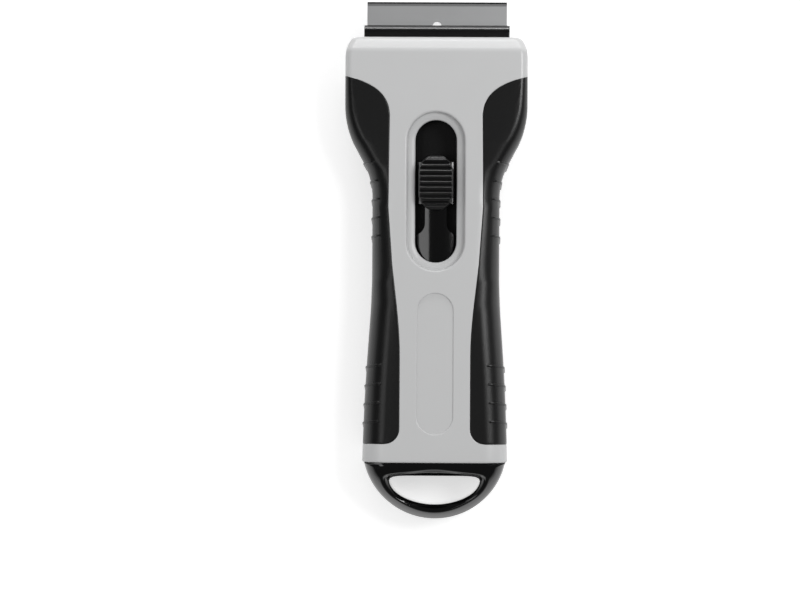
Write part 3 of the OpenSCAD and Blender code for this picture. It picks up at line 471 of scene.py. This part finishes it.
# Lower shell: the grey half on which the tool lies, moulded like the upper one. Its back is flat and
# rises to the mouth, and four round wells take the heads of the screws that hold the halves together.
lower_shell = half_of(shell_form, "lower_shell", -1)
boolean(lower_shell, "DIFFERENCE", hollow_form)
screw_places = [(s * x, y) for x, y in ((11.55, 28.0), (13.15, tail_y + 8.4)) for s in (-1, 1)]
well_r, well_l, well_z = 2.25, 3.0, -0.1
wells = []
for x, y in screw_places:
    bpy.ops.object.select_all(action="DESELECT")
    bpy.ops.mesh.primitive_cylinder_add(vertices=40, radius=well_r * mm, depth=well_l * mm,
                                        location=(x * mm, y * mm, well_z * mm))
    wells.append(start("well_tool"))
    bpy.ops.object.mode_set(mode="OBJECT")
boolean(lower_shell, "DIFFERENCE", *end_tools(), *wells)
soften(lower_shell, 0.2, 2, lambda p, q, a, b: on_seam(p, q))
bpy.data.objects.remove(shell_form)
finish_piece(lower_shell)
lower_shell.data.materials.append(shell_grey)
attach(lower_shell, "housing")
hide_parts("bottom_shell")

# Side grips: soft black rubber moulded over the sides of both shells, flush with the grey panel. Thin
# ribs wrap round the side of each, five by the thumb and four by the tail, sloping back to the outside.
rib_t, rib_h, rib_lean, rib_wrap = 0.8, 0.3, 0.13, 2.6
rib_places = [(6.95 + 5.08 * i, 2.5) for i in range(4)] + [(6.95 + 5.08 * 4, 3.7)]
rib_places += [(-44.8 + 5.18 * i, 5.0) for i in range(4)]
select_grip(grip_form, (1,))
bpy.ops.mesh.select_all(action="INVERT")
bpy.ops.mesh.delete(type="FACE")
bpy.ops.object.mode_set(mode="OBJECT")
right_side_grip = grip_form
right_side_grip.name = right_side_grip.data.name = "right_side_grip"
wall = right_side_grip.modifiers.new("wall", "SOLIDIFY")
wall.thickness, wall.offset, wall.use_even_offset = (grip_depth - 0.04) * mm, -1, True
bpy.ops.object.modifier_apply(modifier="wall")
soften(right_side_grip, 0.22, 3, lambda p, q, a, b: on_seam(p, q))


def rib_body(y, reach):
    """one rib: a rounded bar laid round the side of the grip, fading out at both ends"""
    path = section_path(y, 0, 0)
    w = path[len(path) // 2][0]
    low, high = path_cost(path, w - reach, False), path_cost(path, w - rib_wrap, True)
    rings = []
    for i in range(33):
        cost, here = low + (high - low) * i / 32, y
        for turn in range(3):
            line = section_path(here, 0, 0)
            x, z = path_point(line, cost)
            here = y + rib_lean * (z - handle_h)
        ax, az = path_point(line, cost - 0.02)
        bx, bz = path_point(line, cost + 0.02)
        run = math.hypot(bx - ax, bz - az)
        nx, nz = -(bz - az) / run, (bx - ax) / run
        fade = min(1.0, min(i, 32 - i) / 3)
        h = rib_h * fade - 0.05 * (1 - fade)
        bar = [(-0.5, -0.6), (-0.5, -0.02), (-0.34, 0.72 * h), (-0.12, h),
               (0.12, h), (0.34, 0.72 * h), (0.5, -0.02), (0.5, -0.6)]
        rings.append([(x + nx * v, here + rib_t * u, z + nz * v) for u, v in bar])
    return prism("rib", rings)


for y, reach in rib_places:
    boolean(right_side_grip, "UNION", rib_body(y, reach))
soft_black = surface("soft_black", (0.004, 0.004, 0.0042), 0.32, 0.5, 2200, 0.012, 0.1)
right_side_grip.data.materials.append(soft_black)
left_side_grip = copy_of(right_side_grip, "left_side_grip")
edit(left_side_grip)
bpy.ops.mesh.select_all(action="SELECT")
bpy.ops.transform.resize(value=(-1, 1, 1), center_override=(0, 0, 0))
bpy.ops.mesh.normals_make_consistent(inside=False)
bpy.ops.object.mode_set(mode="OBJECT")
finish_piece(right_side_grip)
finish_piece(left_side_grip)
for grip, node in ((right_side_grip, "right_grip"), (left_side_grip, "left_grip")):
    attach(grip, "housing")
    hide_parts(node)

# Thumb button: a ribbed oval of soft black plastic that snaps onto the lever by two studs. Nine round
# ridges run across its slightly domed face.
button_y, button_l, button_w, button_z = 21.35, 15.6, 9.65, 21.2
ridge_pitch, ridge_h, lever_z = 1.55, 0.5, 15.8


def button_top(y):
    dome = button_z - 0.5 * (2 * y / button_l) ** 2
    if abs(y) > 4.5 * ridge_pitch:
        return dome - ridge_h - 1.2 * ease(abs(y), 4.5 * ridge_pitch, button_l / 2 + 0.4)
    return dome - ridge_h * (0.5 - 0.5 * math.cos(2 * math.pi * y / ridge_pitch)) ** 1.4


side_line = [(y / 8, button_top(y / 8)) for y in range(-70, 71)]
side_line = [(y, z) for y, z in side_line if abs(y) < button_l / 2 + 0.6]
side_ring = [(side_line[0][0], lever_z - 1)] + side_line + [(side_line[-1][0], lever_z - 1)]
ridged_button = prism("ridged_button", [[(x, button_y + y, z) for y, z in side_ring] for x in (-8, 8)])
oval_edge = [(0, lever_z - 2), (0, 19.6), (0.1, 20.2), (0.35, 20.8), (0.6, 21.4)]
oval = prism("oval_tool", [stadium_ring(button_w / 2 - shrink, button_y - button_l / 2 + shrink,
                                        button_y + button_l / 2 - shrink, z, 28)
                           for shrink, z in oval_edge])
boolean(ridged_button, "INTERSECT", oval)
crown_r = 20.0
bpy.ops.object.select_all(action="DESELECT")
bpy.ops.mesh.primitive_cylinder_add(vertices=256, radius=(crown_r + 0.01) * mm, depth=120 * mm,
                                    location=(0, 0, (lever_z - crown_r) * mm), rotation=(math.pi / 2, 0, 0))
crown_tool = start("crown_tool")
bpy.ops.object.mode_set(mode="OBJECT")
boolean(ridged_button, "DIFFERENCE", crown_tool, keep=True)
finish_piece(ridged_button, 50)
ridged_button.data.materials.append(soft_black)
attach(ridged_button, "button")
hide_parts("thumb_button")

# Lock lever: a glossy black tongue under the button that turns on a steel pin. Behind the button it has
# a narrow neck, and from there it runs back under the slot at full width, crowned like a watch glass.
lever_w, neck_w, lever_t, lever_rear = 12.8, 6.0, 1.8, -3.0
neck_y = button_y - button_l / 2 - 3.4
flare_r = (lever_w - neck_w) / 2
arc = [(lever_w / 2 - flare_r * math.cos(math.radians(a)), neck_y - flare_r * math.cos(math.radians(90 - a)))
       for a in range(90, -1, -10)]
seat_x, seat_l = lever_w / 2 - 1, 5.8
side_x = [(lever_w / 2, lever_rear)] + arc
side_x += [(neck_w / 2, button_y - seat_l), (seat_x, button_y - seat_l), (seat_x, button_y + seat_l)]
plan = side_x + [(-x, y) for x, y in reversed(side_x)]
glossy_lever = prism("glossy_lever", [[(x, y, z) for x, y in plan]
                                      for z in (lever_z - lever_t, lever_z + 0.5)])
boolean(glossy_lever, "INTERSECT", crown_tool)
hub_x, hub_r, pivot_y, pivot_z, bore_r = 4.3, 1.9, 3.1, 11.8, 0.86
hub_line = [(1.7, 2.7), (-1.7, 2.7)]
hub_line += [(hub_r * math.cos(math.radians(a)), hub_r * math.sin(math.radians(a)))
             for a in range(180, 361, 15)]
hub = prism("hub", [[(x, pivot_y + y, pivot_z + z) for y, z in hub_line] for x in (-hub_x, hub_x)])
boolean(glossy_lever, "UNION", hub)
bpy.ops.object.select_all(action="DESELECT")
bpy.ops.mesh.primitive_cylinder_add(vertices=32, radius=bore_r * mm, depth=20 * mm,
                                    location=(0, pivot_y * mm, pivot_z * mm), rotation=(0, math.pi / 2, 0))
bore = start("bore_tool")
bpy.ops.object.mode_set(mode="OBJECT")
boolean(glossy_lever, "DIFFERENCE", bore)
finish_piece(glossy_lever, 40)
gloss_black = surface("gloss_black", (0.002, 0.002, 0.0022), 0.1, 0.6, 900, 0.004, 0.1, clear=0.5)
glossy_lever.data.materials.append(gloss_black)
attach(glossy_lever, "button")
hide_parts("lock_lever")

# Jaw clamp: a moulded black bar with a rounded nose that presses the blade onto the carrier. A small
# cross-head screw in its middle draws it down through the slot of the blade.
jaw_x, jaw_y, jaw_back_y, clamp_z, clamp_top = 20.3, 65.55, 49.05, 9.72, 12.42
nose_r, clamp_screw_y = 2.3, 59.4
nose = [(jaw_y - nose_r * (1 - math.cos(math.radians(a))),
         clamp_top - nose_r * (1 - math.sin(math.radians(a)))) for a in range(0, 91, 9)]
bar = [(jaw_back_y, clamp_z), (jaw_y - 0.2, clamp_z), (jaw_y, clamp_z + 0.2)] + nose + [
    (jaw_back_y + 2.6, clamp_top), (jaw_back_y + 2.3, clamp_top - 0.7), (jaw_back_y, clamp_top - 0.7)]
jaw_clamp = prism("jaw_clamp", [[(x, y, z) for y, z in bar] for x in (-jaw_x, jaw_x)])
bpy.ops.object.select_all(action="DESELECT")
bpy.ops.mesh.primitive_cylinder_add(vertices=40, radius=2.3 * mm, depth=4 * mm,
                                    location=(0, clamp_screw_y * mm, (clamp_top + 0.7) * mm))
well = start("well_tool")
bpy.ops.object.mode_set(mode="OBJECT")
boolean(jaw_clamp, "DIFFERENCE", well)
soften(jaw_clamp, 0.3, 2, lambda p, q, a, b: min(abs(p.x), abs(q.x)) > jaw_x - 0.01)
finish_piece(jaw_clamp, 40)
moulded_black = surface("moulded_black", (0.003, 0.003, 0.0032), 0.24, 0.65, 1500, 0.02, 0.25)
jaw_clamp.data.materials.append(moulded_black)
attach(jaw_clamp, "slider")
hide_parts("blade_clamp")

# Blades: rolled and ground steel strips, one in the jaw and five spares in the tray. The faces carry
# fine marks of rolling along the edge. The strip along the ground edge is painted near black in the colour,
# as painted shade for its dim reflection.
blade_steel = surface("blade_steel", (0.62, 0.625, 0.63), 0.5, 0.5, 1200, 0.003, 0.07, metal=1.0)
tree = blade_steel.node_tree
stretch = tree.nodes.new("ShaderNodeMapping")
stretch.inputs["Scale"].default_value = (0.06, 1, 1)
place = next(n for n in tree.nodes if n.bl_idname == "ShaderNodeTexCoord")
fine = next(n for n in tree.nodes if n.bl_idname == "ShaderNodeTexNoise")
tree.links.new(place.outputs["Object"], stretch.inputs["Vector"])
tree.links.new(stretch.outputs["Vector"], fine.inputs["Vector"])
# Painted shade: from about y 70.9 mm out to the front edge, the colour is mixed towards near black (0.03).
# This stands in for the dim reflection of the ground edge.
apart = tree.nodes.new("ShaderNodeSeparateXYZ")
near = tree.nodes.new("ShaderNodeMapRange")
near.inputs["From Min"].default_value = 70.0 * mm
near.inputs["From Max"].default_value = 72.0 * mm
edge_shade_ramp = tree.nodes.new("ShaderNodeValToRGB")
edge_shade_ramp.color_ramp.elements[0].position, edge_shade_ramp.color_ramp.elements[0].color = 0.44, (0, 0, 0, 1)
edge_shade_ramp.color_ramp.elements[1].position, edge_shade_ramp.color_ramp.elements[1].color = 0.5, (0.45, 0.45, 0.45, 1)
for place_y, value in ((0.78, 0.5), (0.84, 1.0)):
    edge_shade_ramp.color_ramp.elements.new(place_y).color = (value, value, value, 1)
painted_edge_shade = tree.nodes.new("ShaderNodeMix")
painted_edge_shade.data_type = "RGBA"
painted_edge_shade.inputs["B"].default_value = (0.03, 0.03, 0.032, 1)
tint = next(n for n in tree.nodes if n.bl_idname == "ShaderNodeMix" and n is not painted_edge_shade)
shader = tree.nodes["Principled BSDF"]
tree.links.new(place.outputs["Object"], apart.inputs["Vector"])
tree.links.new(apart.outputs["Y"], near.inputs["Value"])
tree.links.new(near.outputs["Result"], edge_shade_ramp.inputs["Fac"])
tree.links.new(edge_shade_ramp.outputs["Color"], painted_edge_shade.inputs["Factor"])
tree.links.new(tint.outputs["Result"], painted_edge_shade.inputs["A"])
tree.links.new(painted_edge_shade.outputs["Result"], shader.inputs["Base Color"])
for name in ["blade"] + ["spare_blade_%d" % i for i in range(1, 6)]:
    nodes[name].material_slots[0].material = blade_steel

# Carrier and tray: moulded black plastic. The carrier slides in the head with the blade on it, and the
# tray holds the spare blades inside the handle.
for name in ("blade_carrier", "blade_tray"):
    nodes[name].material_slots[0].material = moulded_black

# Screws, pin and spring: bright steel, left as cut. The four long screws join the shells, the short one
# holds the blade, the pin carries the lever and the coil spring under it lifts the button.
screw_steel = surface("screw_steel", (0.5, 0.5, 0.51), 0.3, 0.5, 1800, 0.004, 0.05, metal=1.0)
for name in ("housing_screws", "clamp_screw", "lever_pin", "return_spring"):
    nodes[name].material_slots[0].material = screw_steel

# Round end: a glossy black moulding that carries the magazine. It closes the tail, thins out to its
# tip and has a wide hole with a flat front side, to hang the tool on a hook.
loop_r, loop_y, loop_face, tip_h = 20.2, tail_y + 4.5, tail_y - 0.12, 10.5
hole_y, hole_r, hole_x, hole_low = tail_y - 3.7, 20.0, 13.2, tail_y - 11.7
hole_centre = hole_low + hole_r
hub_y = (hole_y + hole_low) / 2


def to_circle(r, centre, a):
    drop = hub_y - centre
    return -drop * math.sin(a) + math.sqrt(r * r - (drop * math.cos(a)) ** 2)


def to_line(y, a):
    return (y - hub_y) / math.sin(a) if math.sin(a) > 0.02 else 1000.0


def loop_top(x, y):
    """half the thickness of the round end at a place: round beside the housing, slanted at the tip"""
    t = ease(y, loop_face, loop_y - loop_r)
    s = max(0.0, loop_r - math.hypot(x, y - loop_y))
    h = (1 - t) * (handle_h / 2 - 0.6) + t * tip_h / 2
    e, b = (1 - t) * 4.6 + t * 2, (1 - t) * 4.6 + t * 3.0
    near = max(0.0, e - s) / e
    return h - b * ((1 - t) * (1 - math.sqrt(1 - near ** 2)) + t * near ** 1.3)


corner = math.atan2(loop_face - hub_y, math.sqrt(loop_r ** 2 - (loop_face - loop_y) ** 2))
turns = sorted([math.radians(d) for d in range(-90, 270, 3)] + [corner, math.pi - corner])
rim_step = [(0, 2.7), (0.04, 2.15), (0.16, 1.85), (0.36, 1.6), (0.7, 1.24), (1.05, 0.88), (1.32, 0.6),
            (1.45, 0.56), (1.62, 0.42), (1.82, 0.26), (2.0, 0.15), (2.25, 0.06), (2.5, 0.0)]
edge_step = [0.94, 0.86, 0.76, 0.64, 0.52, 0.42, 0.32, 0.23, 0.15, 0.08, 0.03, 0]
around = 2 * (len(rim_step) + len(edge_step))
bpy.ops.object.select_all(action="DESELECT")
bpy.ops.mesh.primitive_torus_add(major_segments=len(turns), minor_segments=around,
                                 major_radius=18 * mm, minor_radius=2 * mm)
round_end = bpy.context.object
round_end.name = round_end.data.name = "round_end"
for i, a in enumerate(turns):
    sides = hole_x / abs(math.cos(a)) if abs(math.cos(a)) > 0.01 else 1000.0
    low = sum(r ** -7 for r in (to_circle(hole_r, hole_centre, a), to_line(hole_y, a), sides)) ** (-1 / 7)
    high = min(to_circle(loop_r, loop_y, a), to_line(loop_face, a))
    reach = [(low + out, drop) for out, drop in rim_step]
    wide = min(6.5, high - reach[-1][0])
    reach += [(high - wide * k, 0) for k in edge_step]
    top = []
    for r, drop in reach:
        x, y = r * math.cos(a), hub_y + r * math.sin(a)
        top.append((x, y, loop_top(x, y) - drop))
    ring = [(x, y, handle_h / 2 + z) for x, y, z in top]
    ring += [(x, y, handle_h / 2 - z) for x, y, z in reversed(top)]
    for j, p in enumerate(ring):
        round_end.data.vertices[i * around + j].co = Vector(p) * mm
bpy.ops.object.mode_set(mode="EDIT")
bpy.ops.mesh.select_all(action="SELECT")
bpy.ops.mesh.normals_make_consistent(inside=False)
bpy.ops.object.mode_set(mode="OBJECT")
tenon = box_tool("tenon_tool", (-8.75, tail_y - 2, 8.55), (8.75, tail_y + 2, 10.85))
boolean(round_end, "DIFFERENCE", tenon)
finish_piece(round_end, 45)
round_end.data.materials.append(gloss_black)
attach(round_end, "magazine")
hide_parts("hanging_loop")

# Table, light and camera: a white table top, a soft lamp near the upper right, a low wide one ahead of
# the blade, a faint one at the left, and a long lens nearly straight above the tool.
bpy.ops.object.select_all(action="DESELECT")
bpy.ops.mesh.primitive_plane_add(size=6, location=(0, 0, -0.00002))
table = bpy.context.object
table.name = "table"
white = bpy.data.materials.new("table_white")
white.use_nodes = True
tree = white.node_tree
shader = tree.nodes["Principled BSDF"]
shader.inputs["Base Color"].default_value = (0.8, 0.8, 0.8, 1)
shader.inputs["Roughness"].default_value = 0.9
shader.inputs["Specular IOR Level"].default_value = 0.0
rays = tree.nodes.new("ShaderNodeLightPath")
glow = tree.nodes.new("ShaderNodeEmission")
glow.inputs["Strength"].default_value = 0.55
both = tree.nodes.new("ShaderNodeAddShader")
choose = tree.nodes.new("ShaderNodeMixShader")
seen = tree.nodes.new("ShaderNodeMath")
seen.operation = "MAXIMUM"
output = tree.nodes["Material Output"]
tree.links.new(rays.outputs["Is Camera Ray"], seen.inputs[0])
tree.links.new(rays.outputs["Is Glossy Ray"], seen.inputs[1])
tree.links.new(shader.outputs["BSDF"], both.inputs[0])
tree.links.new(glow.outputs["Emission"], both.inputs[1])
tree.links.new(seen.outputs["Value"], choose.inputs["Fac"])
tree.links.new(shader.outputs["BSDF"], choose.inputs[1])
tree.links.new(both.outputs["Shader"], choose.inputs[2])
tree.links.new(choose.outputs["Shader"], output.inputs["Surface"])
table.data.materials.append(white)

world = bpy.data.worlds.new("studio")
bpy.context.scene.world = world
world.use_nodes = True
tree = world.node_tree
sky = tree.nodes["Background"]
sky.inputs["Color"].default_value = (1, 1, 1, 1)
rays = tree.nodes.new("ShaderNodeLightPath")
way = tree.nodes.new("ShaderNodeTexCoord")
apart = tree.nodes.new("ShaderNodeSeparateXYZ")
ceiling = tree.nodes.new("ShaderNodeMapRange")
ceiling.inputs["From Min"].default_value = 0.05
ceiling.inputs["From Max"].default_value = 0.36
ceiling.inputs["To Min"].default_value = 1.0
ceiling.inputs["To Max"].default_value = 0.06
shown = tree.nodes.new("ShaderNodeMath")
shown.operation = "MAXIMUM"
lit = tree.nodes.new("ShaderNodeMix")
lit.inputs["A"].default_value = 0.5
tree.links.new(way.outputs["Generated"], apart.inputs["Vector"])
tree.links.new(apart.outputs["Z"], ceiling.inputs["Value"])
tree.links.new(rays.outputs["Is Glossy Ray"], lit.inputs["Factor"])
tree.links.new(ceiling.outputs["Result"], lit.inputs["B"])
plain = tree.nodes.new("ShaderNodeMix")
plain.inputs["B"].default_value = 1.0
tree.links.new(rays.outputs["Is Camera Ray"], shown.inputs[0])
tree.links.new(rays.outputs["Is Transmission Ray"], shown.inputs[1])
tree.links.new(shown.outputs["Value"], plain.inputs["Factor"])
tree.links.new(lit.outputs["Result"], plain.inputs["A"])
tree.links.new(plain.outputs["Result"], sky.inputs["Strength"])


def soft_lamp(name, place, wide, deep, energy):
    lamp = bpy.data.lights.new(name, "AREA")
    lamp.shape, lamp.size, lamp.size_y, lamp.energy = "ELLIPSE", wide, deep, energy
    lamp_object = bpy.data.objects.new(name, lamp)
    bpy.context.scene.collection.objects.link(lamp_object)
    lamp_object.location = place
    towards = Vector((0, -0.01, 0.01)) - lamp_object.location
    lamp_object.rotation_euler = towards.to_track_quat("-Z", "Y").to_euler()


soft_lamp("key_lamp", (0.42, 0.16, 0.67), 0.3, 0.3, 2.15)
soft_lamp("front_lamp", (0.0, 1.0, 0.19), 0.8, 0.2, 4.0)
soft_lamp("fill_lamp", (-0.3, -0.02, 0.75), 0.3, 0.3, 0.38)

lens = bpy.data.cameras.new("camera")
lens.lens = 200
lens.sensor_width = 36
lens.clip_end = 20
camera = bpy.data.objects.new("camera", lens)
bpy.context.scene.collection.objects.link(camera)
frame_w, photo_scale = 800, 0.2788
away = frame_w * photo_scale * mm * lens.lens / lens.sensor_width
lean, focus_z = math.radians(1.15), 13.0
camera.location = (-9.9 * mm + away * math.sin(lean), -11.1 * mm, focus_z * mm + away * math.cos(lean))
camera.rotation_euler = (0, lean, math.radians(0.3))
bpy.context.scene.camera = camera
bpy.context.scene.view_settings.view_transform = "Standard"
